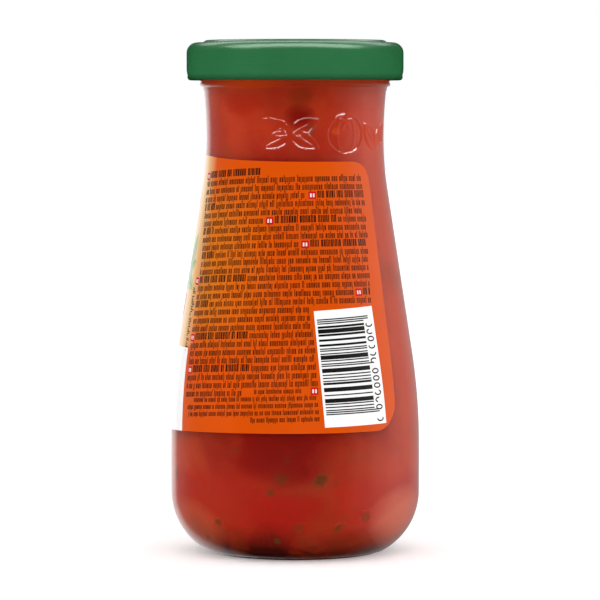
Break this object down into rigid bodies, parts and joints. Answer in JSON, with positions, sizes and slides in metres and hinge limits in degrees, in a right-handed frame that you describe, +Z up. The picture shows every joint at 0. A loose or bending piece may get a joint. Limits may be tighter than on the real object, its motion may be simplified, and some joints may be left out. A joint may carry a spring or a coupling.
{
  "type": "tomato sauce jar",
  "caption": "Shut glass jar of tomato sauce with a waisted neck, a twist-off metal lid and a wrap-round orange label.",
  "frame": {"origin": "centre of the base, on the surface that the jar stands on", "axes": "+Z up along the jar's axis; -Y towards the side with the ingredients panel, which the picture shows; +X to the right of that view"},
  "size_m": [0.0763, 0.0766, 0.1558],
  "materials": {
    "glass": "clear moulded glass, smooth, with low relief on the neck",
    "sauce": null,
    "lid": "tinplate with green satin lacquer",
    "label": "glossy printed paper"
  },
  "bodies": {
    "root": {"jar_glass": "glass", "sauce": "sauce", "lid": "lid", "label": "label"}
  },
  "joints": []
}
